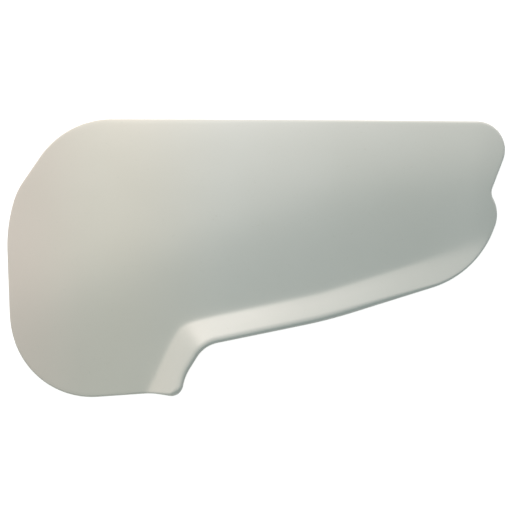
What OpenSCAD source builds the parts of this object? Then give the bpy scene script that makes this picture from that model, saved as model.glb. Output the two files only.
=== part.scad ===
// Wing mirror cover: one moulded shell for the front of a left door mirror.
// The cover lies open side down on its rim. The crown faces up, the straight
// top edge lies toward +Y and the narrow inner end lies toward +X.
// All sizes are in millimetres.

/* [Overall] */
// Width from the rounded outer end to the narrow inner end
cover_w = 240; // [200:1:290]
// Height from the straight top edge to the bottom of the lobe
cover_h = 134; // [110:1:160]
// Depth from the mounting rim to the highest point of the crown
cover_d = 56; // [46:1:68]
// Wall thickness of the moulding
wall = 2.5; // [2:0.1:3]

/* [Outline] */
// Width of the deep lobe, from the outer end to the corner of the lip
lobe_w = 95; // [78:1:114]
// Height of the lobe's leg, from its bottom up to the corner of the lip
leg_h = 25; // [20:0.5:30]
// Sideways slant of the leg over its height
leg_slant = 11.4; // [9:0.1:14]
// Fillet radius where the lip turns down into the leg
lip_corner_r = 15; // [12:0.5:18]
// Amount that the lip bows down between its two ends
lip_bow = 3.5; // [2.5:0.1:4.5]
// Height of the inner end, from the top edge to its lower corner
end_h = 74.5; // [62:0.5:89]
// Radius of the lower corner of the inner end
end_corner_r = 47; // [38:1:56]
// Distance from the top edge down to the notch in the inner end
notch_h = 35.6; // [30:0.1:42]
// Distance that the notch reaches in from the widest point
notch_in = 7; // [5.5:0.1:8.5]
// Radius of the upper corner of the inner end
end_top_r = 13.7; // [11:0.1:16.5]
// Radius of the upper outer corner
outer_top_r = 42; // [34:1:50]
// Radius of the lower outer corner
outer_low_r = 39.5; // [32:0.5:47]

/* [Crown] */
// Fall of the crown from its middle to its ends
bow_drop = 22; // [18:0.5:26]
// Fall of the face above the ridge, in millimetres for each 100 of height
upper_fall = 23; // [19:1:28]
// Fall of the face below the ridge, in millimetres for each 100 of height
lower_fall = 18; // [15:1:22]
// Half width of the soft ridge between the two faces
ridge_soft = 21; // [17:0.5:25]
// Height band below the top edge over which the face rolls back
roll_w = 36; // [30:1:43]
// Extra fall of that band at the top edge
roll_drop = 2; // [1.6:0.1:2.4]
// Width of the zone that rolls back at the outer end
outer_roll_w = 35; // [28:1:42]
// Fall of that zone at the outer end
outer_roll_drop = 8; // [6.5:0.5:9.5]
// Width of the zone that rolls back at the inner end
inner_roll_w = 16; // [13:1:19]
// Fall of that zone at the inner end
inner_roll_drop = 2; // [1.6:0.1:2.4]

/* [Lip] */
// Width of the flared strip along the lip, from the crease to the edge
flare_w = 13.4; // [11:0.1:16]
// Width of the flared strip down the leg
leg_flare_w = 15.4; // [12.5:0.1:18.5]
// Height that the flared strip rises from the crease to the edge, at the lobe
flare_rise = 12.6; // [10:0.1:15]
// Height that it rises at the inner end
flare_end = 4; // [3:0.1:5]
// Softness of the crease at the lobe
crease_soft = 1.2; // [1:0.1:2]
// Radius of the rolled edge of the lip
lip_r = 3.8; // [3:0.1:4.6]
// Height of the return wall behind the lip
lip_wall_h = 8; // [6.5:0.1:9.5]

/* [Rim] */
// Width of the rounding where the face meets the side wall
edge_r = 1.5; // [1.2:0.1:1.8]
// Thickness of the thinned part of the rim
step_t = 1.4; // [1.1:0.1:1.7]
// Height of the thinned part of the rim
step_h = 3; // [2.4:0.1:3.6]

/* [Fixings] */
// Width of each snap hook
hook_w = 10; // [8:0.5:12]
// Thickness of each snap hook
hook_t = 2.2; // [1.8:0.1:2.7]
// Reach of the nose of each snap hook
hook_nose = 1.8; // [1.4:0.1:2.2]
// Height of the hook tips above the rim plane
hook_tip_z = 6; // [5:0.5:7.5]
// Distance between the three hooks along the top edge
hook_pitch = 72; // [60:1:78]
// Diameter of the two locating pegs
peg_d = 6; // [5:0.1:7]
// Free length of the locating pegs
peg_l = 12; // [10:0.5:14]
// Diameter of the stem that carries each peg
stem_d = 10; // [8.5:0.5:12]
// Thickness of the ribs that brace the hooks and stems
rib_t = 1.6; // [1.3:0.1:2]

/* [Hidden] */
body_color = "#DDDCD4";

left_x = -cover_w / 2;
right_x = cover_w / 2;
top_y = cover_h / 2;
low_y = -cover_h / 2;

// Corners of the outline before rounding, clockwise from the upper inner one.
// Each holds x, y, radius, width of the edge zone, width and depth of the
// edge rounding, and the share of the face height that the rim is lifted by.
lip_in = [right_x - 13.5, top_y - end_h];
lip_out = [left_x + lobe_w, low_y + leg_h];
lip_mid = lip_out + (lip_in - lip_out) * 0.454 - [0, lip_bow];
corners = [
    [right_x + 6.5, top_y - 1, end_top_r, 0.75 * end_top_r, 1.3 * edge_r, 3 * edge_r, 0],
    [right_x - notch_in, top_y - notch_h, 6.1, 10, edge_r, 2 * edge_r, 0],
    [right_x - 2.3, top_y - notch_h - 9.6, 16.2, 10, edge_r, 2 * edge_r, 0.2],
    [lip_in[0], lip_in[1], end_corner_r, flare_w, 0.6 * lip_r, 0.6 * lip_r, 0.9],
    [lip_mid[0], lip_mid[1], 248, flare_w, lip_r, lip_r, 1],
    [lip_out[0], lip_out[1], lip_corner_r, 9, lip_r, lip_r, 1],
    [lip_out[0] - 0.82 * leg_slant, lip_out[1] - 0.6 * leg_h, 24.5, 5, lip_r, lip_r, 0.6],
    [lip_out[0] - leg_slant, low_y, 5.6, 4.6, 0.9 * lip_r, 1.2 * lip_r, 0],
    [lip_out[0] - leg_slant - 13.7, low_y + 2.1, 28.9, 5.4, edge_r, 2 * edge_r, 0],
    [left_x + 10.8, low_y - 2.1, outer_low_r, 12, edge_r, 2 * edge_r, 0],
    [left_x + 1.3, low_y + 35, 47.7, 12, edge_r, 2 * edge_r, 0],
    [left_x - 0.6, top_y - 51.1, 72.7, 12, edge_r, 2 * edge_r, 0],
    [left_x + 4.4, top_y - 34.5, 31.5, 12, edge_r, 2 * edge_r, 0],
    [left_x + 28.2, top_y, outer_top_r, 12, edge_r, 2 * edge_r, 0]
];
nc = len(corners);

// Small helpers
function mix(a, b, t) = a + (b - a) * t;
function smooth(t) = let (u = max(0, min(1, t))) u * u * (3 - 2 * u);
function soft_min(a, b, k) = (a + b - sqrt((a - b) * (a - b) + 4 * k * k)) / 2;
function soft_max(a, b, k) = (a + b + sqrt((a - b) * (a - b) + 4 * k * k)) / 2;
function unit(v) = v / norm(v);
function arc_part(k) = 1 - sqrt(1 - k * k);
// Distance of a point from the line a to b, positive on its right
function right_of(a, b, x, y) = let (d = unit(b - a)) d[1] * (x - a[0]) - d[0] * (y - a[1]);

// Height of the outer face over the rim plane, as a function of x and y
leg_foot = [lip_out[0] - leg_slant, low_y];
function crease_in(x, y) =
    let (lip = soft_min(right_of(lip_in, lip_mid, x, y), right_of(lip_mid, lip_out, x, y), 0.3))
    let (leg = right_of(lip_out, leg_foot, x, y) + flare_w - leg_flare_w)
    flare_w - soft_max(lip, leg, 1.5);
function flare(x, y) =
    let (c = crease_in(x, y))
    let (s = crease_soft + 3 * smooth((x - 0.55 * right_x) / (0.4 * right_x)))
    let (rise = mix(flare_rise, flare_end, smooth((x - 0.75 * left_x) / (2 * right_x))))
    rise / flare_w * (sqrt(c * c + s * s) + c) / 2;
function ridge_y(x) =
    let (upper = top_y - 33 + 0.1 * (x - 20))
    let (lower = top_y - 75 + 0.36 * (x - left_x - 40))
    soft_min(upper, lower, 4);
function face_fall(y, yr) =
    let (w = y - yr, a = upper_fall / 100, b = lower_fall / 100)
    (a - b) / 2 * w + (a + b) / 2 * (sqrt(w * w + ridge_soft * ridge_soft) - ridge_soft);
function roll_fall(y) =
    let (u = max(0, min(1, (y - top_y) / roll_w + 1)))
    roll_drop * arc_part(0.88 * u) / arc_part(0.88);
function pow2(t) = t * t;
function face(x, y) =
    cover_d
    - bow_drop * pow2((x + cover_w / 12) / right_x)
    - face_fall(y, ridge_y(x))
    - roll_fall(y)
    - outer_roll_drop * pow2(max(0, left_x + outer_roll_w - x) / outer_roll_w)
    - inner_roll_drop * pow2(max(0, x - right_x + inner_roll_w) / inner_roll_w)
    + flare(x, y);
// Vertical thickness of the wall where the face slopes
function wall_v(x, y) =
    let (e = 0.2, f = face(x, y))
    let (gx = (face(x + e, y) - f) / e, gy = (face(x, y + e) - f) / e)
    wall * sqrt(1 + gx * gx + gy * gy);
function skin(x, y) = face(x, y) - wall_v(x, y);
function mid_skin(x, y) = face(x, y) - wall_v(x, y) / 2;

// Rounded outline: a row of arcs and straights
function cn(k) = corners[(k + nc) % nc];
function cxy(k) = [cn(k)[0], cn(k)[1]];
edge_dir = [for (k = [0:nc - 1]) unit(cxy(k + 1) - cxy(k))];
edge_len = [for (k = [0:nc - 1]) norm(cxy(k + 1) - cxy(k))];
function turn_of(a, b) = atan2(a[0] * b[1] - a[1] * b[0], a[0] * b[0] + a[1] * b[1]);
turns = [for (k = [0:nc - 1]) turn_of(edge_dir[(k + nc - 1) % nc], edge_dir[k])];
want = [for (k = [0:nc - 1]) cn(k)[2] * tan(abs(turns[k]) / 2)];
room = [for (k = [0:nc - 1]) min(1, 0.999 * edge_len[k] / (want[k] + want[(k + 1) % nc]))];
share = [for (k = [0:nc - 1]) min(room[k], room[(k + nc - 1) % nc])];
radii = [for (k = [0:nc - 1]) cn(k)[2] * share[k]];
cuts = [for (k = [0:nc - 1]) want[k] * share[k]];
straights = [for (k = [0:nc - 1]) edge_len[k] - cuts[k] - cuts[(k + 1) % nc]];

// Each step is a corner's number, 1 for the straight after it or 0 for its
// arc, and its weight, so that tight arcs get more columns.
grip = 12;
function arc_step(k) = [k, 0, abs(turns[k]) * PI / 180 * (radii[k] + grip)];
function line_step(k) = [k, 1, straights[k]];
function steps(a, b) = [for (k = [a:b], s = [0, 1]) if (k < b || s == 0) s == 0 ? arc_step(k) : line_step(k)];
inner_run = steps(0, 3);
lip_run = concat([line_step(3)], steps(4, 7));
// The foot of the leg, where the crease runs out, gets closer columns
lobe_run = concat([[7, 1, 4 * straights[7]], [8, 0, 2 * arc_step(8)[2]], line_step(8)], steps(9, 13));
top_run = [line_step(13)];
function total(run, i = 0) = i == len(run) ? 0 : run[i][2] + total(run, i + 1);
function find(run, m, i = 0) =
    (i == len(run) - 1 || m <= run[i][2]) ? [run[i][0], run[i][1], m / run[i][2]]
    : find(run, m - run[i][2], i + 1);

// Span from the middle of one arc to the middle of the next
function arc_w(k) = arc_step((k + nc) % nc)[2];
spans = [for (k = [0:nc - 1]) arc_w(k) / 2 + straights[k] + arc_w(k + 1) / 2];

// A column holds its point, its inward direction and its place in corners
function on_line(k, f) =
    let (d = edge_dir[k], p = cxy(k) + d * (cuts[k] + f * straights[k]))
    [p, [d[1], -d[0]], k + (arc_w(k) / 2 + f * straights[k]) / spans[k]];
function on_arc(k, f) =
    let (d0 = edge_dir[(k + nc - 1) % nc], s = turns[k] < 0 ? 1 : -1)
    let (c = cxy(k) - d0 * cuts[k] + [d0[1], -d0[0]] * radii[k] * s)
    let (a = atan2(d0[1], d0[0]) + turns[k] * f, n = [sin(a), -cos(a)])
    let (span = f < 0.5 ? spans[(k + nc - 1) % nc] : spans[k])
    [c - n * radii[k] * s, n, k + (f - 0.5) * arc_w(k) / span];
function column(run, f) =
    let (h = find(run, f * total(run)))
    h[1] == 1 ? on_line(h[0], h[2]) : on_arc(h[0], h[2]);
function value(u, c) =
    let (v = u < 0 ? u + nc : u, k = floor(v))
    mix(cn(k)[c], cn(k + 1)[c], smooth(v - k));

// Counts of columns: the lip and the top edge share the points of the spine
n_inner = 22;
n_lip = 20;
n_lobe = 34;
spine_b = [right_x - 31.5, top_y - 39];
spine_a = [left_x + 47, top_y - 39];
columns = concat(
    [for (i = [0:n_inner - 1]) concat(column(inner_run, i / n_inner), 0)],
    [for (i = [0:n_lip - 1]) concat(column(lip_run, i / n_lip), i)],
    [for (i = [0:n_lobe - 1]) concat(column(lobe_run, i / n_lobe), n_lip)],
    [for (i = [0:n_lip - 1]) concat(column(top_run, i / n_lip), n_lip - i)]
);
nn = len(columns);
function spine_xy(j) = mix(spine_b, spine_a, j / n_lip);

// Points of one column, from the inner spine down to the rim and back out
zone_rows = [0.5, 1];
near_rows = [2.2, 5, 8.5, 13, 19];
far_rows = [0.27, 0.52, 0.77];
round_rows = [0, 30, 60, 90];
in_round_rows = [0, 45, 90];
// Distance from q towards s at which the crease is crossed, or 0
function cross_in(q, s, a, b, n) =
    let (m = (a + b) / 2, g = q + unit(s - q) * m)
    n == 0 ? m : crease_in(g[0], g[1]) > 0 ? cross_in(q, s, m, b, n - 1) : cross_in(q, s, a, m, n - 1);
function cross(q, s) = crease_in(q[0], q[1]) <= 0 ? 0 : cross_in(q, s, 0, 24, 12);
// Rows between q and s, closer together beside the crease
function open_rows(q, s) =
    let (long = norm(s - q), k = min(1, long / 45), c = cross(q, s), w = smooth(c / 3))
    let (beside = [max(c - 3.5, 0.25 * c), max(c - 1.3, 0.65 * c), c, c + 1.5, c + 6])
    let (near = [for (i = [0:4]) mix(near_rows[i] * k, beside[i], w) / long])
    concat(near, [for (f = far_rows) mix(near[4], 1, f)]);
function at(p, z) = [p[0], p[1], z];
function rim_z(col) = value(col[2], 6) * (face(col[0][0], col[0][1]) - lip_wall_h);
function column_points(col) =
    let (p = col[0], n = col[1], u = col[2], s = spine_xy(col[3]))
    let (zone = value(u, 3), rx = value(u, 4), rz = rim_z(col))
    let (ry = min(value(u, 5), 0.8 * (face(p[0], p[1]) - rz)))
    let (ix = max(rx - wall, 0.5), iy = max(ry - wall, 0.5), q = p + n * zone)
    let (pw = p + n * wall, top_in = skin(pw[0], pw[1]) - iy)
    let (sh = min(step_h, 0.6 * (top_in - rz)), ps = p + n * step_t)
    let (open = open_rows(q, s))
    concat(
        [for (i = [len(open) - 1:-1:0]) let (g = mix(q, s, open[i])) at(g, skin(g[0], g[1]))],
        [at(q, skin(q[0], q[1]))],
        [for (i = [len(in_round_rows) - 1:-1:0])
            let (a = in_round_rows[i], g = p + n * (wall + ix * (1 - cos(a))))
            at(g, skin(g[0], g[1]) - iy * (1 - sin(a)))],
        [at(pw, rz + sh), at(ps, rz + sh), at(ps, rz), at(p, rz)],
        [for (a = round_rows) let (g = p + n * rx * (1 - cos(a))) at(g, face(g[0], g[1]) - ry * (1 - sin(a)))],
        [for (t = zone_rows) let (g = p + n * mix(rx, zone, t)) at(g, face(g[0], g[1]))],
        [for (t = open) let (g = mix(q, s, t)) at(g, face(g[0], g[1]))]
    );
grid = [for (c = columns) column_points(c)];
mm = len(grid[0]);
// Point numbers: the grid row by row, then the inner and the outer spine
in_base = nn * mm;
out_base = in_base + n_lip + 1;
function spot(i, r) =
    r < 0 ? in_base + columns[i % nn][3]
    : r >= mm ? out_base + columns[i % nn][3]
    : (i % nn) * mm + r;

module shell() {
    points = concat(
        [for (c = grid, p = c) p],
        [for (j = [0:n_lip]) let (s = spine_xy(j)) at(s, skin(s[0], s[1]))],
        [for (j = [0:n_lip]) let (s = spine_xy(j)) at(s, face(s[0], s[1]))]
    );
    faces = [
        for (i = [0:nn - 1], r = [-1:mm - 1], h = [0, 1])
            let (a = spot(i, r), b = spot(i + 1, r), c = spot(i + 1, r + 1), d = spot(i, r + 1))
            let (cut = norm(points[a] - points[c]) <= norm(points[b] - points[d]))
            let (f = cut ? (h == 0 ? [a, b, c] : [a, c, d]) : (h == 0 ? [a, b, d] : [b, c, d]))
            if (f[0] != f[1] && f[1] != f[2] && f[0] != f[2]) f
    ];
    color(body_color) polyhedron(points = points, faces = faces, convexity = 10);
}

// Blade: an upright plate whose root follows the middle of the wall. Its outline
// runs from the back root corner down, across the tip and up to the front one.
// Its last corner but one may be hollow, and is one that sees all the others.
module blade(x, y, angle, w, outline) {
    n = len(outline);
    c = cos(angle);
    s = sin(angle);
    function root(u, v) = mid_skin(x + c * u - s * v, y + s * u + c * v);
    function ring(v) = [for (i = [0:n - 1]) let (u = outline[i][0])
        [u, v, i == 0 || i == n - 1 ? root(u, v) : outline[i][1]]];
    points = concat(ring(-w / 2), ring(w / 2));
    faces = concat(
        [[for (i = [0:n - 1]) (2 * n - 2 - i) % n], [for (i = [0:n - 1]) n + (n - 2 + i) % n]],
        [for (i = [0:n - 2]) [i, i + 1, n + i + 1, n + i]],
        [[n - 1, 0, n], [n - 1, n, 2 * n - 1]]
    );
    translate([x, y, 0]) rotate([0, 0, angle]) polyhedron(points = points, faces = faces);
}

// Snap hook: a flat leg with a nose that points along the angle, and two ribs
module snap_hook(x, y, angle, tip_z) {
    d = [cos(angle), sin(angle)];
    reach = 7;
    drop = 12;
    foot = 2.2;
    nose_h = 4;
    function root(u) = mid_skin(x + d[0] * u, y + d[1] * u);
    color(body_color) {
        blade(x, y, angle, hook_w, [
            [-hook_t / 2, 0],
            [-hook_t / 2, tip_z],
            [hook_t / 4, tip_z],
            [hook_t / 2 + hook_nose, tip_z + 0.8 * nose_h],
            [hook_t / 2, tip_z + nose_h],
            [hook_t / 2, 0]
        ]);
        for (s = [-1, 1]) translate([x, y, 0]) rotate([0, 0, angle]) translate([0, s * hook_w * 0.3, 0])
            rotate([90, 0, 0]) linear_extrude(height = rib_t, center = true) polygon([
                [-hook_t / 4, root(-hook_t / 4)],
                [-hook_t / 4, root(-hook_t / 4) - drop],
                [-hook_t / 2, root(-hook_t / 2) - drop],
                [-hook_t / 2 - reach, root(-hook_t / 2 - reach) - foot],
                [-hook_t / 2 - reach, root(-hook_t / 2 - reach)]
            ]);
    }
}

// Hooks: three along the top edge, two in the lobe, one at each end
hook_top_y = top_y - 15;
module snap_hooks() {
    for (k = [-1, 0, 1]) snap_hook(k * hook_pitch, hook_top_y, 90, hook_tip_z);
    for (k = [0, 1]) snap_hook(left_x + 30 + 32 * k, low_y + 12, -90, hook_tip_z);
    snap_hook(left_x + 14, 0, 180, hook_tip_z);
    snap_hook(right_x - 17, top_y - 30, 0, hook_tip_z);
}

// Tongues behind the lip, which slide under the lower housing
tongue_w = 14;
tongue_t = 2;
tongue_l = 7;
tongue_in = 6.5;
module tongue(f) {
    d = unit(lip_in - lip_mid);
    n = [-d[1], d[0]];
    edge = lip_mid + (lip_in - lip_mid) * f;
    p = edge + n * tongue_in;
    low = face(edge[0], edge[1]) - lip_wall_h - tongue_l;
    color(body_color) blade(p[0], p[1], atan2(n[1], n[0]), tongue_w, [
        [-tongue_t / 2, 0],
        [-tongue_t / 2, low + tongue_t],
        [-tongue_t / 4, low],
        [tongue_t / 2, low],
        [tongue_t / 2, 0]
    ]);
}
module tongues() {
    tongue(0.02);
    tongue(0.6);
}

// Locating peg: a round pin on a stem braced by four ribs
// The pegs stand where the crown is nearly level
peg_x = [left_x + 58, left_x + 165];
peg_spots = [for (x = peg_x) [x, ridge_y(x) - 4]];
module peg(x, y) {
    top = mid_skin(x, y);
    tip = hook_tip_z + 2;
    shoulder = tip + peg_l;
    edge = stem_d / 2 + 7;
    foot = 3;
    low = shoulder + 4;
    color(body_color) {
        translate([x, y, tip]) cylinder(h = peg_l + 1, d = peg_d, $fn = 48);
        translate([x, y, shoulder]) cylinder(h = top - shoulder, d = stem_d, $fn = 48);
        for (a = [0, 90, 180, 270]) translate([x, y, 0]) rotate([0, 0, a])
            rotate([90, 0, 0]) linear_extrude(height = rib_t, center = true) polygon([
                [0, top],
                [0, low],
                [stem_d / 2, low],
                [edge, mid_skin(x + cos(a) * edge, y + sin(a) * edge) - foot],
                [edge, mid_skin(x + cos(a) * edge, y + sin(a) * edge)]
            ]);
    }
}
module pegs() {
    for (s = peg_spots) peg(s[0], s[1]);
}

module mirror_cover() {
    union() {
        shell();
        snap_hooks();
        tongues();
        pegs();
    }
}

mirror_cover();
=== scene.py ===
"""Looks of the wing mirror cover: the moulded shell as one fine surface, the fixings
behind it, its satin primer and bare plastic, and a pale studio seen from straight above."""
import math

import bpy
import numpy as np
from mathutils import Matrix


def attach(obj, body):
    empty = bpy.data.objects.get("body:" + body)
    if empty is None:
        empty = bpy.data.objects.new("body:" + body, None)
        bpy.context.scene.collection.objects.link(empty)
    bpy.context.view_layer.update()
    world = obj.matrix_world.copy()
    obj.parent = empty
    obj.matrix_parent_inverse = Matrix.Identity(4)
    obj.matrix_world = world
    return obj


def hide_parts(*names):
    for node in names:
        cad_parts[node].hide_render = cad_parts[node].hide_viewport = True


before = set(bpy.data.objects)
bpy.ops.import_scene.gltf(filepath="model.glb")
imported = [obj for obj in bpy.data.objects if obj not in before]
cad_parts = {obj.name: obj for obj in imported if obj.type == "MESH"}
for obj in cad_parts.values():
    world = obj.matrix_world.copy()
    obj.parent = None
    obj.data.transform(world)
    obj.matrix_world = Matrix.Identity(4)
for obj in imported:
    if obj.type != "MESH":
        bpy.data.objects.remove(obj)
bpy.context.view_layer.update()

# Shapes are worked out in millimetres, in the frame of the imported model
MM = 0.001
BODY = "root"
NODE = "mirror_cover"

# Overall sizes of the moulding
COVER_W = 240.0
COVER_H = 134.0
COVER_D = 56.0
WALL = 2.5
LEFT_X, RIGHT_X = -COVER_W / 2, COVER_W / 2
LOW_Y, TOP_Y = -COVER_H / 2, COVER_H / 2

# Sizes of the outline
LOBE_W = 95.0
LEG_H = 25.0
LEG_SLANT = 11.4
LIP_CORNER_R = 15.0
LIP_BOW = 3.5
END_H = 74.5
END_CORNER_R = 47.0
NOTCH_H = 35.6
NOTCH_IN = 7.0
END_TOP_R = 13.7
OUTER_TOP_R = 42.0
OUTER_LOW_R = 39.5

# Sizes of the crown. The ridge's two lines are each given by their distance below the top edge
# at a place along the width, and by their rise for each millimetre from there.
BOW_DROP = 22.0
CROWN_SHIFT = COVER_W / 12
UPPER_FALL = 0.23
LOWER_FALL = 0.18
RIDGE_SOFT = 21.0
RIDGE_BEND = 4.0
UPPER_RIDGE_IN = 33.0
UPPER_RIDGE_X = 20.0
UPPER_RIDGE_RISE = 0.1
LOWER_RIDGE_IN = 75.0
LOWER_RIDGE_FROM_LEFT = 40.0
LOWER_RIDGE_RISE = 0.36
ROLL_W = 36.0
ROLL_DROP = 2.0
ROLL_ARC = 0.88
OUTER_ROLL_W = 35.0
OUTER_ROLL_DROP = 8.0
INNER_ROLL_W = 16.0
INNER_ROLL_DROP = 2.0

# Sizes of the lip and the rim. The flared strip gets lower, and its crease softer, towards
# the inner end.
FLARE_W = 13.4
LEG_FLARE_W = 15.4
FLARE_RISE = 12.6
FLARE_END = 4.0
FLARE_FADE_FROM = 0.75 * LEFT_X
FLARE_FADE_W = 2 * RIGHT_X
CREASE_SOFT = 1.2
CREASE_SOFTER = 3.0
CREASE_FADE_FROM = 0.55 * RIGHT_X
CREASE_FADE_W = 0.4 * RIGHT_X
CREASE_TURN = 1.5
CREASE_TURN_GROWTH = 0.07
LIP_BEND = 0.3
LIP_R = 3.8
LIP_END_R = 0.3 * LIP_R
LIP_WALL_H = 8.0
EDGE_R = 0.8
INNER_EDGE_R = 0.5
STEP_T = 1.4
STEP_H = 3.0
RIM_EDGE_R = 0.3

# Sizes of the fixings
HOOK_W = 10.0
HOOK_T = 2.2
HOOK_NOSE = 1.8
HOOK_NOSE_H = 3.2
HOOK_CATCH_H = 4.0
HOOK_RIBS_OUT = 0.3 * HOOK_W
HOOK_TIP_Z = 6.0
HOOK_PITCH = 72.0
TOP_HOOK_IN = 15.0
LOBE_HOOK_PITCH = 32.0
LOBE_HOOK_FROM_LEFT = 30.0
LOBE_HOOK_IN = 12.0
OUTER_HOOK_IN = 14.0
INNER_HOOK_IN = 17.0
INNER_HOOK_BELOW_TOP = 30.0
PEG_D = 6.0
PEG_L = 12.0
PEG_TIP_Z = HOOK_TIP_Z + 2
PEG_CHAMFER = 0.6
PEG_FILLET = 0.4
PEG_BELOW_RIDGE = 4.0
LOBE_PEG_X = LEFT_X + 58
ARM_PEG_X = LEFT_X + 165
STEM_D = 10.0
STEM_CHAMFER = 0.3
STEM_RIB_REACH = 7.0
STEM_RIB_TOE = 3.0
STEM_RIB_ABOVE = 4.0
RIB_T = 1.6
RIB_REACH = 7.0
RIB_DROP = 12.0
RIB_TOE = 2.2
TONGUE_W = 14.0
TONGUE_T = 2.0
TONGUE_L = 7.0
TONGUE_IN = 6.5
TONGUE_SHARES = (0.02, 0.6)
MOULD_EDGE_R = 0.25
MOULD_EDGE_ANGLE = 28

# Corners of the outline before rounding, clockwise from the upper inner one. Each
# holds x, y, radius, width of the edge zone, width and depth of the edge rounding,
# and the share of the face height that the rim is lifted by.
LIP_IN = np.array([RIGHT_X - 13.5, TOP_Y - END_H])
LIP_OUT = np.array([LEFT_X + LOBE_W, LOW_Y + LEG_H])
LIP_MID = LIP_OUT + (LIP_IN - LIP_OUT) * 0.454 - np.array([0, LIP_BOW])
LEG_FOOT = np.array([LIP_OUT[0] - LEG_SLANT, LOW_Y])
CORNERS = np.array([
    [RIGHT_X + 6.5, TOP_Y - 1, END_TOP_R, 0.75 * END_TOP_R, 1.3 * EDGE_R, 3 * EDGE_R, 0],
    [RIGHT_X - NOTCH_IN, TOP_Y - NOTCH_H, 6.1, 10, EDGE_R, 2 * EDGE_R, 0],
    [RIGHT_X - 2.3, TOP_Y - NOTCH_H - 9.6, 16.2, 10, EDGE_R, 2 * EDGE_R, 0.2],
    [*LIP_IN, END_CORNER_R, FLARE_W, LIP_END_R, LIP_END_R, 0.9],
    [*LIP_MID, 248, FLARE_W, LIP_R, LIP_R, 1],
    [*LIP_OUT, LIP_CORNER_R, 9, LIP_R, LIP_R, 1],
    [LIP_OUT[0] - 0.82 * LEG_SLANT, LIP_OUT[1] - 0.6 * LEG_H, 24.5, 5, LIP_R, LIP_R, 0.6],
    [*LEG_FOOT, 5.6, 4.6, 0.9 * LIP_R, 1.2 * LIP_R, 0],
    [LEG_FOOT[0] - 13.7, LOW_Y + 2.1, 28.9, 5.4, EDGE_R, 2 * EDGE_R, 0],
    [LEFT_X + 10.8, LOW_Y - 2.1, OUTER_LOW_R, 12, EDGE_R, 2 * EDGE_R, 0],
    [LEFT_X + 1.3, LOW_Y + 35, 47.7, 12, EDGE_R, 2 * EDGE_R, 0],
    [LEFT_X - 0.6, TOP_Y - 51.1, 72.7, 12, EDGE_R, 2 * EDGE_R, 0],
    [LEFT_X + 4.4, TOP_Y - 34.5, 31.5, 12, EDGE_R, 2 * EDGE_R, 0],
    [LEFT_X + 28.2, TOP_Y, OUTER_TOP_R, 12, EDGE_R, 2 * EDGE_R, 0],
])
N_CORNERS = len(CORNERS)
RADIUS, ZONE_W, ROUND_W, ROUND_D, RIM_LIFT = 2, 3, 4, 5, 6
LIP_INNER_CORNER, FOOT_CORNER, TOP_OUTER_CORNER = 3, 7, 13

# Columns of the shell's grid round the inner end, along the lip and down the leg, and round
# the lobe; the top edge has as many as the lip. Its rows outside and inside meet on a spine
# below the top edge, and each gap between the rows that lead there is cut in parts.
N_INNER = 128
N_LIP = 128
N_LOBE = 192
PARTS_OUTSIDE = 4
PARTS_INSIDE = 2
SPINE_IN = 39
SPINE_INNER = np.array([RIGHT_X - 31.5, TOP_Y - SPINE_IN])
SPINE_OUTER = np.array([LEFT_X + 47, TOP_Y - SPINE_IN])


def smooth(t):
    """Rises from 0 to 1 with level ends: u squared times 3 less 2u, u being t kept within 0 and 1."""
    u = np.clip(t, 0, 1)
    return u * u * (3 - 2 * u)


def soft_min(a, b, k):
    """The smaller of a and b, rounded by a hyperbola of half width k where they cross."""
    return (a + b - np.sqrt((a - b) ** 2 + 4 * k * k)) / 2


def soft_max(a, b, k):
    """The larger of a and b, rounded by a hyperbola of half width k where they cross."""
    return (a + b + np.sqrt((a - b) ** 2 + 4 * k * k)) / 2


def right_of(a, b, x, y):
    """Distance of the point x, y from the line a to b, positive on the line's right."""
    d = (b - a) / np.linalg.norm(b - a)
    return d[1] * (x - a[0]) - d[0] * (y - a[1])


def crease_in(x, y):
    """How far inside the flared strip a point lies: the strip's width, less the distance in
    from the lip's two straights and the leg's side. Where the two sides meet, the rounding
    grows with the distance in, so the crease turns on a wider bend than the edge."""
    lip = soft_min(right_of(LIP_IN, LIP_MID, x, y), right_of(LIP_MID, LIP_OUT, x, y), LIP_BEND)
    leg = right_of(LIP_OUT, LEG_FOOT, x, y) + FLARE_W - LEG_FLARE_W
    return FLARE_W - soft_max(lip, leg, CREASE_TURN + CREASE_TURN_GROWTH * np.maximum(lip, 0))


def flare(x, y):
    """Rise of the flared strip: a ramp that starts at the crease as a hyperbola, softer and
    lower towards the inner end."""
    c = crease_in(x, y)
    s = CREASE_SOFT + CREASE_SOFTER * smooth((x - CREASE_FADE_FROM) / CREASE_FADE_W)
    rise = FLARE_RISE + (FLARE_END - FLARE_RISE) * smooth((x - FLARE_FADE_FROM) / FLARE_FADE_W)
    return rise / FLARE_W * (np.sqrt(c * c + s * s) + c) / 2


def ridge_y(x):
    """Where the upper and the lower face meet: two sloping lines with a soft bend between."""
    upper = TOP_Y - UPPER_RIDGE_IN + UPPER_RIDGE_RISE * (x - UPPER_RIDGE_X)
    lower = TOP_Y - LOWER_RIDGE_IN + LOWER_RIDGE_RISE * (x - LEFT_X - LOWER_RIDGE_FROM_LEFT)
    return soft_min(upper, lower, RIDGE_BEND)


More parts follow.
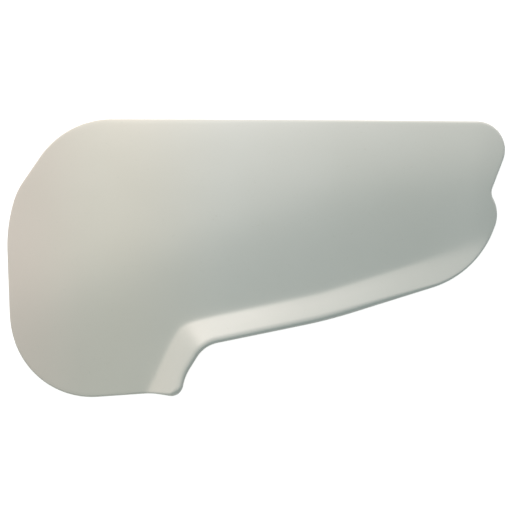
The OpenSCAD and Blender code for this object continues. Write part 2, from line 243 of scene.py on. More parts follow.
def face(x, y):
    """Height of the outer face over the rim plane: the crown's depth, less a parabola along the
    width, a hyperbola across the ridge, an arc below the top edge and parabolas at both ends,
    plus the flare."""
    w = y - ridge_y(x)
    across = (UPPER_FALL - LOWER_FALL) / 2 * w
    across = across + (UPPER_FALL + LOWER_FALL) / 2 * (np.sqrt(w * w + RIDGE_SOFT ** 2) - RIDGE_SOFT)
    u = ROLL_ARC * np.clip((y - TOP_Y) / ROLL_W + 1, 0, 1)
    roll = ROLL_DROP * (1 - np.sqrt(1 - u * u)) / (1 - math.sqrt(1 - ROLL_ARC ** 2))
    outer = np.maximum(0, LEFT_X + OUTER_ROLL_W - x) / OUTER_ROLL_W
    inner = np.maximum(0, x - RIGHT_X + INNER_ROLL_W) / INNER_ROLL_W
    bow = ((x + CROWN_SHIFT) / RIGHT_X) ** 2
    return (COVER_D - BOW_DROP * bow - across - roll - OUTER_ROLL_DROP * outer ** 2
            - INNER_ROLL_DROP * inner ** 2 + flare(x, y))


def skin(x, y, share=1.0):
    """Height of the surface that lies a share of the wall behind the outer face: the wall is
    measured square to the face, so it is longer upright where the face slopes. The slopes are
    the face's rise over a short way in x and in y."""
    way = 0.2
    f = face(x, y)
    slope_x = (face(x + way, y) - f) / way
    slope_y = (face(x, y + way) - f) / way
    return f - share * WALL * np.sqrt(1 + slope_x * slope_x + slope_y * slope_y)


# The rounded outline: arcs at the corners and straights between them, with each arc made
# smaller where its two straights have no room for it. A piece of the outline gets columns by
# its weight: a straight's is its length, and an arc's is its turn times its radius, with the
# radius made a little longer so that a tight arc gets enough.
EDGES = np.roll(CORNERS[:, :2], -1, axis=0) - CORNERS[:, :2]
EDGE_LEN = np.linalg.norm(EDGES, axis=1)
EDGE_DIR = EDGES / EDGE_LEN[:, None]
BEFORE = np.roll(EDGE_DIR, 1, axis=0)
TURNS = np.arctan2(BEFORE[:, 0] * EDGE_DIR[:, 1] - BEFORE[:, 1] * EDGE_DIR[:, 0],
                   (BEFORE * EDGE_DIR).sum(axis=1))
WANT = CORNERS[:, RADIUS] * np.tan(np.abs(TURNS) / 2)
ROOM = np.minimum(1, 0.999 * EDGE_LEN / (WANT + np.roll(WANT, -1)))
FITTED = np.minimum(ROOM, np.roll(ROOM, 1))
RADII = CORNERS[:, RADIUS] * FITTED
CUTS = WANT * FITTED
STRAIGHTS = EDGE_LEN - CUTS - np.roll(CUTS, -1)
WEIGHT_R = 12.0
ARC_W = np.abs(TURNS) * (RADII + WEIGHT_R)
SPANS = ARC_W / 2 + STRAIGHTS + np.roll(ARC_W, -1) / 2
ARC, STRAIGHT = 0, 1


def steps(first, last):
    """The arcs and straights from one corner's arc to another's, as corner, kind and weight."""
    both = [[(k, ARC, ARC_W[k]), (k, STRAIGHT, STRAIGHTS[k])] for k in range(first, last + 1)]
    return [step for pair in both for step in pair][:-1]


def on_outline(run, count):
    """Points spread evenly by weight along a run of arcs and straights, their inward direction
    and their place among the corners. A point on a straight is its start plus a share of its
    length. A point on an arc is the arc's centre less the radius along the inward direction."""
    k, line, weight = (np.array(column) for column in zip(*run))
    ends = np.cumsum(weight)
    m = np.arange(count) / count * ends[-1]
    at = np.searchsorted(ends, m)
    f = ((m - ends[at] + weight[at]) / weight[at])[:, None]
    k, line = k[at].astype(int), line[at][:, None] == STRAIGHT
    xy, d, d0 = CORNERS[k, :2], EDGE_DIR[k], BEFORE[k]
    on_line = xy + d * (CUTS[k][:, None] + f * STRAIGHTS[k][:, None])
    side = np.where(TURNS[k] < 0, 1, -1)[:, None]
    r = RADII[k][:, None] * side
    centre = xy - d0 * CUTS[k][:, None] + np.stack([d0[:, 1], -d0[:, 0]], axis=1) * r
    a = np.arctan2(d0[:, 1], d0[:, 0])[:, None] + TURNS[k][:, None] * f
    arc_n = np.concatenate([np.sin(a), -np.cos(a)], axis=1)
    p = np.where(line, on_line, centre - arc_n * r)
    n = np.where(line, np.stack([d[:, 1], -d[:, 0]], axis=1), arc_n)
    f, line = f[:, 0], line[:, 0]
    half = np.where(f < 0.5, SPANS[k - 1], SPANS[k])
    u = np.where(line, (ARC_W[k] / 2 + f * STRAIGHTS[k]) / SPANS[k], (f - 0.5) * ARC_W[k] / half)
    return p, n, k + u


def corner_value(u, column):
    """A value that the corners hold, carried smoothly from the middle of one arc to the next."""
    v = np.where(u < 0, u + N_CORNERS, u)
    k = np.floor(v).astype(int)
    a, b = CORNERS[k % N_CORNERS, column], CORNERS[(k + 1) % N_CORNERS, column]
    return a + (b - a) * smooth(v - k)


def finer(rows, parts):
    """The rows with parts - 1 more between each two, evenly spaced."""
    share = np.arange(parts) / parts
    between = rows[..., :-1, None] + (rows[..., 1:, None] - rows[..., :-1, None]) * share
    return np.concatenate([between.reshape(*rows.shape[:-1], -1), rows[..., -1:]], axis=-1)


def crossing(q, d):
    """Distance from q along d at which the crease is crossed, or 0 outside the strip: the way
    is halved again and again towards the crossing."""
    longest, halvings = 24.0, 16
    low, high = np.zeros(len(q)), np.full(len(q), longest)
    for _ in range(halvings):
        middle = (low + high) / 2
        g = q + d * middle[:, None]
        inside = crease_in(g[:, 0], g[:, 1]) > 0
        low, high = np.where(inside, middle, low), np.where(inside, high, middle)
    return np.where(crease_in(q[:, 0], q[:, 1]) > 0, (low + high) / 2, 0)


def open_rows(q, s, parts):
    """Shares of the way from q to s, 0 and 1 included: five rows set by distance, closer where
    the way is short, and six spread over the rest, each gap cut in parts. Where the way crosses
    the crease, the five are drawn to it: two before it, one on it and two past it."""
    way = s - q
    length = np.linalg.norm(way, axis=1)
    c = crossing(q, way / length[:, None])
    drawn = smooth(c / 3)[:, None]
    near = np.array([2.2, 5, 8.5, 13, 19]) * np.minimum(1, length / 45)[:, None]
    beside = np.stack([
        np.maximum(c - 3.5, 0.25 * c),
        np.maximum(c - 1.3, 0.65 * c),
        c,
        c + 1.5,
        c + 6,
    ], axis=1)
    near = (near + (beside - near) * drawn) / length[:, None]
    far = near[:, -1:] + (1 - near[:, -1:]) * np.array([0.17, 0.33, 0.5, 0.67, 0.84, 1])
    return finer(np.concatenate([np.zeros((len(q), 1)), near, far], axis=1), parts)


def rounded(points, radius):
    """An open row of points with each inner corner turned into three points on a parabola."""
    first, last = points[:, :1], points[:, -1:]
    mid, back, on = points[:, 1:-1], points[:, :-2], points[:, 2:]
    to_back = (back - mid) / np.linalg.norm(back - mid, axis=2, keepdims=True) * radius
    to_on = (on - mid) / np.linalg.norm(on - mid, axis=2, keepdims=True) * radius
    three = np.stack([mid + to_back, mid + (to_back + to_on) / 4, mid + to_on], axis=2)
    return np.concatenate([first, three.reshape(len(points), -1, 3), last], axis=1)


def at(p, z):
    """Points from their x, y and their heights."""
    return np.concatenate([p, z[..., None]], axis=-1)


def shell_rows(p, n, u, s):
    """The shell as a function of two parameters, the place along the outline and the row. A row
    of the inner skin runs from the spine s outwards and down to the rim, over the stepped rim,
    and back along the outer face: the edge is a quarter of an ellipse, and the rest of the row
    is a straight way to the spine, seen from above, at the height of the face or the skin. The
    edge's depth and the rim's step are kept within a share of the wall's height."""
    zone, rx, ry, lift = (corner_value(u, k) for k in (ZONE_W, ROUND_W, ROUND_D, RIM_LIFT))
    edge_z = face(p[:, 0], p[:, 1])
    rim_z = lift * (edge_z - LIP_WALL_H)
    ry = np.minimum(ry, 0.8 * (edge_z - rim_z))
    q = p + n * zone[:, None]
    inner_rx = np.maximum(rx - WALL, INNER_EDGE_R)
    inner_ry = np.maximum(ry - WALL, INNER_EDGE_R)
    pw = p + n * WALL
    top_in = skin(pw[:, 0], pw[:, 1]) - inner_ry
    step_h = np.minimum(STEP_H, 0.6 * (top_in - rim_z))

    def inwards(d):
        """Points that lie distances d in from the outline, square to it."""
        return p[:, None] + n[:, None] * d[..., None]

    def run(surface, parts):
        """The straight way from the edge zone's inner border to the spine, on a surface."""
        g = q[:, None] + (s - q)[:, None] * open_rows(q, s, parts)[..., None]
        return at(g, surface(g[..., 0], g[..., 1]))

    def edge(surface, start, width, depth, angles):
        """A quarter of an ellipse: inwards by width times 1 less the cosine of the angle, and
        below the surface by depth times 1 less its sine."""
        a = np.radians(angles)
        g = inwards(start + width[:, None] * (1 - np.cos(a)))
        return at(g, surface(g[..., 0], g[..., 1]) - depth[:, None] * (1 - np.sin(a)))

    def upright(offset, z0, z1, count):
        """An upright wall at one distance in, in even steps from height z0 to z1."""
        z = z0[:, None] + (z1 - z0)[:, None] * np.linspace(0, 1, count)
        return at(inwards(np.full(z.shape, offset)), z)

    # Rows of the edge zone lie closer together towards its inner border, and the skin has two
    zone_rows = np.linspace(0, 1, 11)[1:-1]
    zone_share = 1 - (1 - zone_rows) ** 1.7
    band = inwards(rx[:, None] + (zone - rx)[:, None] * zone_share)
    inner_band = WALL + inner_rx[:, None]
    inner_band = inwards(inner_band + (zone[:, None] - inner_band) * np.array([0.4, 0.75]))
    outer_edge = edge(face, 0, rx, ry, np.linspace(0, 90, 13))
    inner_edge = edge(skin, WALL, inner_rx, inner_ry, np.linspace(0, 90, 7))
    rim = np.stack([
        at(pw, top_in * 0.2 + (rim_z + step_h) * 0.8),
        at(pw, rim_z + step_h),
        at(p + n * STEP_T, rim_z + step_h),
        at(p + n * STEP_T, rim_z),
        at(p, rim_z),
        at(p, rim_z * 0.8 + outer_edge[:, 0, 2] * 0.2),
    ], axis=1)
    parts = [
        run(skin, PARTS_INSIDE)[:, ::-1],
        at(inner_band, skin(inner_band[..., 0], inner_band[..., 1]))[:, ::-1],
        inner_edge[:, ::-1],
        upright(WALL, inner_edge[:, 0, 2], rim[:, 0, 2], 4)[:, 1:-1],
        rounded(rim, RIM_EDGE_R),
        upright(0, rim[:, -1, 2], outer_edge[:, 0, 2], 6)[:, 1:-1],
        outer_edge,
        at(band, face(band[..., 0], band[..., 1])),
        run(face, PARTS_OUTSIDE),
    ]
    return parts


def new_piece(name, points, faces, material):
    """A mesh in metres from points in millimetres, riding on the body as part of the moulding."""
    mesh = bpy.data.meshes.new(name)
    mesh.from_pydata((points * MM).tolist(), [], faces)
    mesh.polygons.foreach_set("use_smooth", np.ones(len(mesh.polygons), bool))
    mesh.materials.append(material)
    mesh.update()
    piece = bpy.data.objects.new(name, mesh)
    bpy.context.scene.collection.objects.link(piece)
    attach(piece, BODY)
    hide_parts(NODE)
    return piece


def make_shell(material):
    """The shell: columns round the outline, each from the inner spine down to the rim and back
    to the outer spine, joined by quads, and by triangles at the two ends of the spine. The leg's
    foot gets more columns than its length asks for."""
    lip, foot, top = LIP_INNER_CORNER, FOOT_CORNER, TOP_OUTER_CORNER
    inner_run = steps(0, lip)
    lip_run = [(lip, STRAIGHT, STRAIGHTS[lip]), *steps(lip + 1, foot)]
    lobe_run = [
        (foot, STRAIGHT, 4 * STRAIGHTS[foot]),
        (foot + 1, ARC, 2 * ARC_W[foot + 1]),
        (foot + 1, STRAIGHT, STRAIGHTS[foot + 1]),
        *steps(foot + 2, top),
    ]
    top_run = [(top, STRAIGHT, STRAIGHTS[top])]
    runs = [(inner_run, N_INNER), (lip_run, N_LIP), (lobe_run, N_LOBE), (top_run, N_LIP)]
    p, n, u = (np.concatenate(values) for values in zip(*[on_outline(*run) for run in runs]))
    along = np.arange(N_LIP)
    spine_at = np.concatenate([np.zeros(N_INNER, int), along, np.full(N_LOBE, N_LIP), N_LIP - along])
    share = np.arange(N_LIP + 1)[:, None] / N_LIP
    spine = SPINE_INNER + (SPINE_OUTER - SPINE_INNER) * share
    parts = shell_rows(p, n, u, spine[spine_at])
    # The rows on the spine are shared, so they are left off the grid
    parts[0], parts[-1] = parts[0][:, 1:], parts[-1][:, :-1]
    grid = np.concatenate(parts, axis=1)
    # The rim comes after the first four parts
    before_rim = 4
    rim_row = sum(part.shape[1] for part in parts[:before_rim])
    columns, rows = grid.shape[:2]
    number = np.arange(columns * rows).reshape(columns, rows)
    first_in = columns * rows
    ids = np.column_stack([first_in + spine_at, number, first_in + N_LIP + 1 + spine_at])
    a, b = ids, np.roll(ids, -1, axis=0)
    quads = np.stack([a[:, :-1], a[:, 1:], b[:, 1:], b[:, :-1]], axis=-1).reshape(-1, 4)
    start_shut, end_shut = quads[:, 0] == quads[:, 3], quads[:, 1] == quads[:, 2]
    faces = quads[~start_shut & ~end_shut].tolist()
    faces += quads[start_shut][:, :3].tolist() + quads[end_shut][:, [0, 1, 3]].tolist()
    points = np.concatenate([
        grid.reshape(-1, 3),
        at(spine, skin(spine[:, 0], spine[:, 1])),
        at(spine, face(spine[:, 0], spine[:, 1])),
    ])
    shell = new_piece("moulded_shell", points, faces, material)
    # Primer covers the outside and the rim, and its mist thins out up the inner wall
    depth = np.linalg.norm(np.diff(grid, axis=1), axis=2)
    from_rim = np.cumsum(depth[:, rim_row::-1], axis=1)[:, ::-1]
    cover = np.ones((columns, rows))
    cover[:, :rim_row + 1] = np.exp(-np.maximum(from_rim - MIST_START, 0) / MIST_REACH)
    values = np.concatenate([cover.ravel(), np.zeros(N_LIP + 1), np.ones(N_LIP + 1)])
    shell.data.attributes.new(PRIMER, "FLOAT", "POINT").data.foreach_set("value", values)


def turned(points, x, y, angle):
    """Points turned about the upright axis by an angle in degrees, then moved to x, y."""
    c, s = math.cos(math.radians(angle)), math.sin(math.radians(angle))
    px, py = points[:, 0], points[:, 1]
    return np.stack([x + c * px - s * py, y + s * px + c * py, points[:, 2]], axis=1)


def plate(x, y, angle, width, outline, roots, across=0.0):
    """A flat plate: an outline in the upright plane through x, y, carried over its width. The
    outline's points that are roots have their height counted from the middle of the wall."""
    uz = np.array(outline, float)
    rooted = np.isin(np.arange(len(uz)), roots)
    sides = []
    for v in (across - width / 2, across + width / 2):
        flat = np.stack([uz[:, 0], np.full(len(uz), v), np.zeros(len(uz))], axis=1)
        ring = turned(flat, x, y, angle)
        middle = skin(ring[:, 0], ring[:, 1], 0.5)
        ring[:, 2] = uz[:, 1] + np.where(rooted, middle, 0)
        sides.append(ring)
    count = len(uz)
    on = (np.arange(count) + 1) % count
    walls = np.stack([np.arange(count), on, on + count, np.arange(count) + count], axis=1)
    faces = [list(range(count))[::-1], list(range(count, 2 * count)), *walls.tolist()]
    return np.concatenate(sides), faces


def lathe(x, y, profile, sides=48):
    """A round pin: a profile of radius and height carried round the upright axis, closed at
    both ends by a flat face."""
    rz = np.array(profile, float)
    a = np.arange(sides) / sides * 2 * math.pi
    rings = np.stack([
        x + rz[:, :1] * np.cos(a),
        y + rz[:, :1] * np.sin(a),
        np.broadcast_to(rz[:, 1:], (len(rz), sides)),
    ], axis=2)
    number = np.arange(len(rz) * sides).reshape(len(rz), sides)
    on = np.roll(number, -1, axis=1)
    walls = np.stack([number[:-1], on[:-1], on[1:], number[1:]], axis=2).reshape(-1, 4)
    return rings.reshape(-1, 3), [number[0][::-1].tolist(), number[-1].tolist(), *walls.tolist()]


def joined(pieces):
    """Several sets of points and faces as one, each set's faces counted on from the last."""
    points, faces, base = [], [], 0
    for some, polygons in pieces:
        points.append(some)
        faces += [[base + i for i in polygon] for polygon in polygons]
        base += len(some)
    return np.concatenate(points), faces


def soften(piece):
    """Rounds the edges of a moulded plate, with its flat sides left flat."""
    bevel = piece.modifiers.new("edges", "BEVEL")
    bevel.width = MOULD_EDGE_R * MM
    bevel.segments = 2
    bevel.limit_method = "ANGLE"
    bevel.angle_limit = math.radians(MOULD_EDGE_ANGLE)
    bevel.harden_normals = True


def snap_hook(x, y, angle):
    """A flat leg with a nose along the angle, and two ribs behind it."""
    back, front = -HOOK_T / 2, HOOK_T / 2
    leg = plate(x, y, angle, HOOK_W, [
        [back, 0],
        [back, HOOK_TIP_Z],
        [HOOK_T / 4, HOOK_TIP_Z],
        [front + HOOK_NOSE, HOOK_TIP_Z + HOOK_NOSE_H],
        [front, HOOK_TIP_Z + HOOK_CATCH_H],
        [front, 0],
    ], roots=[0, 5])
    rib = [
        [-HOOK_T / 4, 0],
        [-HOOK_T / 4, -RIB_DROP],
        [back, -RIB_DROP],
        [back - RIB_REACH, -RIB_TOE],
        [back - RIB_REACH, 0],
    ]
    all_roots = range(len(rib))
    ribs = [plate(x, y, angle, RIB_T, rib, all_roots, v) for v in (-HOOK_RIBS_OUT, HOOK_RIBS_OUT)]
    return joined([leg, *ribs])


def make_hooks(material):
    """Hooks: three along the top edge, two in the lobe and one at each end."""
    spots = [(k * HOOK_PITCH, TOP_Y - TOP_HOOK_IN, 90) for k in (-1, 0, 1)]
    lobe_x = LEFT_X + LOBE_HOOK_FROM_LEFT
    spots += [(lobe_x + k * LOBE_HOOK_PITCH, LOW_Y + LOBE_HOOK_IN, -90) for k in (0, 1)]
    spots.append((LEFT_X + OUTER_HOOK_IN, 0, 180))
    spots.append((RIGHT_X - INNER_HOOK_IN, TOP_Y - INNER_HOOK_BELOW_TOP, 0))
    soften(new_piece("snap_hooks", *joined([snap_hook(*spot) for spot in spots]), material))


def make_tongues(material):
    """Two tongues behind the lip, square to it."""
    d = (LIP_IN - LIP_MID) / np.linalg.norm(LIP_IN - LIP_MID)
    n = np.array([-d[1], d[0]])
    tongues = []
    for share in TONGUE_SHARES:
        edge = LIP_MID + (LIP_IN - LIP_MID) * share
        x, y = edge + n * TONGUE_IN
        low = face(edge[0], edge[1]) - LIP_WALL_H - TONGUE_L
        tongues.append(plate(x, y, math.degrees(math.atan2(n[1], n[0])), TONGUE_W, [
            [-TONGUE_T / 2, 0],
            [-TONGUE_T / 2, low + 2],
            [-TONGUE_T / 4, low],
            [TONGUE_T / 2, low],
            [TONGUE_T / 2, 0],
        ], roots=[0, 4]))
    soften(new_piece("lip_tongues", *joined(tongues), material))


def make_pegs(material):
    """Two locating pegs: a chamfered pin on a thicker stem, braced by four ribs."""
    pins, ribs = [], []
    shoulder = PEG_TIP_Z + PEG_L
    r, stem_r = PEG_D / 2, STEM_D / 2
    for x in (LOBE_PEG_X, ARM_PEG_X):
        y = ridge_y(x) - PEG_BELOW_RIDGE
        pins.append(lathe(x, y, [
            [r - PEG_CHAMFER, PEG_TIP_Z],
            [r, PEG_TIP_Z + PEG_CHAMFER],
            [r, shoulder - PEG_FILLET],
            [r + PEG_FILLET, shoulder],
            [stem_r - STEM_CHAMFER, shoulder],
            [stem_r, shoulder + STEM_CHAMFER],
            [stem_r, skin(x, y, 0.5)],
        ]))
        fall = shoulder + STEM_RIB_ABOVE - skin(x + stem_r, y, 0.5)
        reach = stem_r + STEM_RIB_REACH
        rib = [[0, 0], [0, fall], [stem_r, fall], [reach, -STEM_RIB_TOE], [reach, 0]]
        ribs += [plate(x, y, a, RIB_T, rib, range(len(rib))) for a in (0, 90, 180, 270)]
    pegs = new_piece("locating_pegs", *joined(pins), material)
    pegs.data.set_sharp_from_angle(angle=math.radians(30))
    soften(new_piece("peg_ribs", *joined(ribs), material))


# Colours of the coat and the plastic, before light, except the two warm tints, which are painted warm
# sheen and painted warm reflection
PRIMER_GREY = "#E0E0DC"
# Painted warm sheen, mixed in over the lobe
PAINTED_WARM_SHEEN = "#E3DFD6"
# Painted warm reflection, mixed in at the outer end
PAINTED_WARM_REFLECTION = "#DED5CD"
CLOUD_SHADE = "#FBFBFA"
DRY_SPRAY = "#CFCEC6"
PLASTIC_DARK = "#D3CFC0"
PLASTIC_PALE = "#DAD7CA"

# Sizes of the patterns, in millimetres. The mould's grain is really near 0.2 and the droplets
# of mist near 0.3, and both are drawn coarser so that they show.
DROPLET = 0.9
CLOUD = 60
SPECK = 1.6
FLOW = 25
SPRAY_PASS = 14
PEEL_HUMP = 2.4
MOULD_GRAIN = 0.7

# The primer's attribute on the shell, how far from the outer end its painted warm reflection and
# painted warm sheen reach, and how its mist starts and fades on the inner wall
PRIMER = "primer"
WARM_REFLECTION_W = 50.0
WARM_SHEEN_FROM = 50.0
WARM_SHEEN_TO = 112.0
MIST_START = 3.0
MIST_REACH = 9.0

# Most of a noise lies between these, and bare plastic is this rough
NOISE_LOW, NOISE_HIGH = 0.3, 0.7
PLASTIC_ROUGH = 0.58


def linear(code):
    """A colour written as a hex value, turned from screen values to linear light."""
    c = np.array([int(code[i:i + 2], 16) for i in (1, 3, 5)]) / 255
    c = np.where(c <= 0.04045, c / 12.92, ((c + 0.055) / 1.055) ** 2.4)
    return (*c.tolist(), 1.0)


def add(tree, kind, inputs=None, **settings):
    """Adds one node: settings are its own fields, and inputs are values or sockets to link."""
    node = tree.nodes.new(kind)
    for field, value in settings.items():
        setattr(node, field, value)
    for socket, value in (inputs or {}).items():
        if isinstance(value, bpy.types.NodeSocket):
            tree.links.new(value, node.inputs[socket])
        else:
            node.inputs[socket].default_value = value
    return node


def new_material(name):
    """An empty node material with its tree and its output."""
    material = bpy.data.materials.new(name)
    material.use_nodes = True
    tree = material.node_tree
    tree.nodes.clear()
    return material, tree, tree.nodes.new("ShaderNodeOutputMaterial")


def per_metre(size_mm):
    """Noise scale on coordinates in metres, for features of a size in millimetres."""
    return 1 / (size_mm * MM)


def plastic_pattern(tree, place):
    """Colour and surface direction of bare moulded plastic: slight flow clouds, and the fine
    spark-eroded grain of the mould."""
    flow = add(tree, "ShaderNodeTexNoise", {
        "Vector": place, "Scale": per_metre(FLOW), "Detail": 3.0}).outputs["Fac"]
    flow = add(tree, "ShaderNodeMapRange", {
        "Value": flow, "From Min": NOISE_LOW, "From Max": NOISE_HIGH}).outputs["Result"]
    colour = add(tree, "ShaderNodeMix", {
        0: flow, 6: linear(PLASTIC_DARK), 7: linear(PLASTIC_PALE)}, data_type="RGBA").outputs[2]
    pits = add(tree, "ShaderNodeTexNoise", {
        "Vector": place, "Scale": per_metre(MOULD_GRAIN), "Detail": 2.0, "Roughness": 0.6,
    }).outputs["Fac"]
    grain = add(tree, "ShaderNodeBump", {
        "Height": pits, "Strength": 0.35, "Distance": 0.03 * MM}).outputs["Normal"]
    return colour, grain


def primed_abs():
    """Satin primer sprayed on injection-moulded ABS. The eye sees a pale warm grey with a broad soft
    sheen, a faint orange peel of the sprayed coat, clouds of slightly thinner coat, and behind the
    rim the bare plastic: creamier, duller, with the fine grain of the mould. A warm sheen is painted
    into the colour over the lobe, and a pinker painted warm reflection at the outer end."""
    material, tree, out = new_material("satin_primer_on_moulded_abs")
    place = add(tree, "ShaderNodeTexCoord").outputs["Object"]
    coat = add(tree, "ShaderNodeAttribute", attribute_name=PRIMER).outputs["Fac"]

    # Mist of primer on the inner wall breaks up into fine droplets as it thins
    droplets = add(tree, "ShaderNodeTexNoise", {
        "Vector": place, "Scale": per_metre(DROPLET), "Detail": 3.0, "Roughness": 0.7,
    }).outputs["Fac"]
    edge = add(tree, "ShaderNodeMath", {0: coat, 1: droplets}, operation="ADD").outputs[0]
    cover = add(tree, "ShaderNodeMapRange", {
        "Value": edge, "From Min": 0.72, "From Max": 1.18}).outputs["Result"]

    # Over the lobe a creamier tone is mixed in, which is painted warm sheen, and at the outer end a
    # pinker tone is mixed in, which is a painted warm reflection
    along = add(tree, "ShaderNodeSeparateXYZ", {"Vector": place}).outputs["X"]
    warm_sheen = add(tree, "ShaderNodeMapRange", {
        "Value": along,
        "From Min": (LEFT_X + WARM_SHEEN_FROM) * MM,
        "From Max": (LEFT_X + WARM_SHEEN_TO) * MM,
        "To Min": 1.0,
        "To Max": 0.0,
    }, interpolation_type="SMOOTHSTEP").outputs["Result"]
    # The cream over the lobe is painted warm sheen
    primer = add(tree, "ShaderNodeMix", {
        0: warm_sheen, 6: linear(PRIMER_GREY), 7: linear(PAINTED_WARM_SHEEN)}, data_type="RGBA").outputs[2]
    # Pinker tone at the outer end: a painted warm reflection
    warm_reflection = add(tree, "ShaderNodeMapRange", {
        "Value": along,
        "From Min": LEFT_X * MM,
        "From Max": (LEFT_X + WARM_REFLECTION_W) * MM,
        "To Min": 1.0,
        "To Max": 0.0,
    }, interpolation_type="SMOOTHSTEP").outputs["Result"]
    primer = add(tree, "ShaderNodeMix", {
        0: warm_reflection, 6: primer, 7: linear(PAINTED_WARM_REFLECTION)}, data_type="RGBA").outputs[2]

    # Broad clouds where the coat is a shade darker, and fine specks of dry spray
    clouds = add(tree, "ShaderNodeTexNoise", {
        "Vector": place, "Scale": per_metre(CLOUD), "Detail": 3.0}).outputs["Fac"]
    clouds = add(tree, "ShaderNodeMapRange", {
        "Value": clouds, "From Min": NOISE_LOW, "From Max": NOISE_HIGH, "To Min": 1.0, "To Max": 0.0,
    }).outputs["Result"]
    primer = add(tree, "ShaderNodeMix", {
        0: clouds, 6: primer, 7: linear(CLOUD_SHADE),
    }, data_type="RGBA", blend_type="MULTIPLY").outputs[2]
    specks = add(tree, "ShaderNodeTexNoise", {
        "Vector": place, "Scale": per_metre(SPECK)}).outputs["Fac"]
    specks = add(tree, "ShaderNodeMapRange", {
        "Value": specks, "From Min": 0.66, "From Max": 0.78, "To Max": 0.25}).outputs["Result"]
    primer = add(tree, "ShaderNodeMix", {
        0: specks, 6: primer, 7: linear(DRY_SPRAY)}, data_type="RGBA").outputs[2]

    plastic, grain = plastic_pattern(tree, place)
    colour = add(tree, "ShaderNodeMix", {
        0: cover, 6: plastic, 7: primer}, data_type="RGBA").outputs[2]

    # Sheen drifts a little with the spray's overlap, and the bare plastic is duller
    drift = add(tree, "ShaderNodeTexNoise", {
        "Vector": place, "Scale": per_metre(SPRAY_PASS)}).outputs["Fac"]
    sheen = add(tree, "ShaderNodeMapRange", {
        "Value": drift, "From Min": NOISE_LOW, "From Max": NOISE_HIGH, "To Min": 0.43, "To Max": 0.48,
    }).outputs["Result"]
    roughness = add(tree, "ShaderNodeMix", {0: cover, 2: PLASTIC_ROUGH, 3: sheen}).outputs[0]

    # Orange peel of the sprayed coat, over the mould's grain
    humps = add(tree, "ShaderNodeTexNoise", {
        "Vector": place, "Scale": per_metre(PEEL_HUMP), "Detail": 1.0, "Roughness": 0.4,
    }).outputs["Fac"]
    peel = add(tree, "ShaderNodeBump", {
        "Height": humps, "Strength": 0.1, "Distance": 0.02 * MM}).outputs["Normal"]
    normal = add(tree, "ShaderNodeMix", {
        0: cover, 4: grain, 5: peel}, data_type="VECTOR").outputs[1]

    surface = add(tree, "ShaderNodeBsdfPrincipled", {
        "Base Color": colour, "Roughness": roughness, "Normal": normal, "IOR": 1.5})
    tree.links.new(surface.outputs["BSDF"], out.inputs["Surface"])
    return material


def bare_abs():
    """Injection-moulded ABS as it leaves the mould. The eye sees a creamy off-white, duller than
    the primer, with a fine spark-eroded grain and slight flow clouds."""
    material, tree, out = new_material("bare_moulded_abs")
    place = add(tree, "ShaderNodeTexCoord").outputs["Object"]
    colour, grain = plastic_pattern(tree, place)
    surface = add(tree, "ShaderNodeBsdfPrincipled", {
        "Base Color": colour, "Roughness": PLASTIC_ROUGH, "Normal": grain, "IOR": 1.53})
    tree.links.new(surface.outputs["BSDF"], out.inputs["Surface"])
    return material


# Studio: the photograph is square and taken from straight above the crown. Heights are in
# millimetres: the camera's, the one that is seen at true size, and the floor's, a hair under
# the rim. The way from the floor's middle to its sides is in metres.
PHOTO_SIDE_PX = 512
PHOTO_MM_PER_PX = 0.4822
PHOTO_ORIGIN_PX = (256.35, 258.05)
OUTLINE_Z = 30.0
CAMERA_H = 4500.0
FLOOR_HALF = 4.0
FLOOR_Z = -0.2
FLOOR_CORNERS = ((-1, -1), (1, -1), (1, 1), (-1, 1))
FLOOR_PAPER = "#C4C4C2"
SURROUND_SIDES = "#F5F6F2"
SURROUND_ABOVE = "#B2CDCD"


def make_camera():
    """A long lens straight above, placed and sized so that the frame's origin and the cover's
    width fall on the photograph's pixels."""
    data = bpy.data.cameras.new("camera")
    camera = bpy.data.objects.new("camera", data)
    bpy.context.scene.collection.objects.link(camera)
    bpy.context.scene.camera = camera
    half = PHOTO_SIDE_PX / 2
    camera.location = (
        (half - PHOTO_ORIGIN_PX[0]) * PHOTO_MM_PER_PX * MM,
        (PHOTO_ORIGIN_PX[1] - half) * PHOTO_MM_PER_PX * MM,
        CAMERA_H * MM,
    )
    seen_w = PHOTO_SIDE_PX * PHOTO_MM_PER_PX
    data.lens = data.sensor_width * (CAMERA_H - OUTLINE_Z) / seen_w
    data.clip_start, data.clip_end = 0.1, 20.0


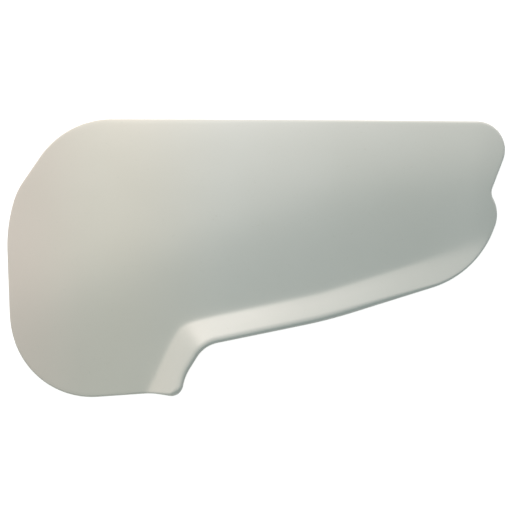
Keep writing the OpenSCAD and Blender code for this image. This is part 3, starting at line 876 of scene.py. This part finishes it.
def area_light(name, azimuth, off_axis, distance, size, power, tint):
    """A round soft box, its distance and size in metres, aimed at the cover: azimuth counts in
    degrees from +X, and off_axis from upright."""
    data = bpy.data.lights.new(name, "AREA")
    data.shape = "DISK"
    data.size = size
    data.energy = power
    data.color = linear(tint)[:3]
    light = bpy.data.objects.new(name, data)
    bpy.context.scene.collection.objects.link(light)
    a, t = math.radians(azimuth), math.radians(off_axis)
    light.location = (
        distance * math.cos(a) * math.sin(t),
        distance * math.sin(a) * math.sin(t),
        distance * math.cos(t),
    )
    light.rotation_euler = (0, t, a)


def make_studio():
    """A pale matt floor, a large soft key from behind and above, a weak low fill from the
    front left, and a pale surround that is neutral round the sides and cooler overhead."""
    world = bpy.data.worlds.new("surround")
    bpy.context.scene.world = world
    world.use_nodes = True
    sky = world.node_tree
    direction = add(sky, "ShaderNodeTexCoord").outputs["Generated"]
    upwards = add(sky, "ShaderNodeSeparateXYZ", {"Vector": direction}).outputs["Z"]
    above = add(sky, "ShaderNodeMapRange", {
        "Value": upwards, "From Min": 0.1, "From Max": 0.7}).outputs["Result"]
    tint = add(sky, "ShaderNodeMix", {
        0: above, 6: linear(SURROUND_SIDES), 7: linear(SURROUND_ABOVE),
    }, data_type="RGBA").outputs[2]
    background = sky.nodes["Background"]
    sky.links.new(tint, background.inputs["Color"])
    background.inputs["Strength"].default_value = 0.5
    area_light("key", azimuth=104, off_axis=58, distance=2.6, size=1.4, power=52.0, tint="#FFF4EE")
    area_light("fill", azimuth=212, off_axis=75, distance=2.6, size=1.0, power=5.2, tint="#FFF6EC")
    mesh = bpy.data.meshes.new("floor")
    corners = [(sx * FLOOR_HALF, sy * FLOOR_HALF, FLOOR_Z * MM) for sx, sy in FLOOR_CORNERS]
    mesh.from_pydata(corners, [], [[0, 1, 2, 3]])
    floor = bpy.data.objects.new("floor", mesh)
    bpy.context.scene.collection.objects.link(floor)
    material, tree, out = new_material("pale_matt_paper")
    surface = add(tree, "ShaderNodeBsdfPrincipled", {
        "Base Color": linear(FLOOR_PAPER),
        "Roughness": 0.9,
        "Emission Color": linear("#FFFFFF"),
        "Emission Strength": 0.86,
    })
    tree.links.new(surface.outputs["BSDF"], out.inputs["Surface"])
    mesh.materials.append(material)
    # The floor shows white but casts no glow up onto the cover's edges
    floor.visible_diffuse = False
    bpy.context.scene.view_settings.view_transform = "Standard"


primer_finish = primed_abs()
plastic_finish = bare_abs()
make_shell(primer_finish)
make_hooks(plastic_finish)
make_tongues(plastic_finish)
make_pegs(plastic_finish)
make_camera()
make_studio()
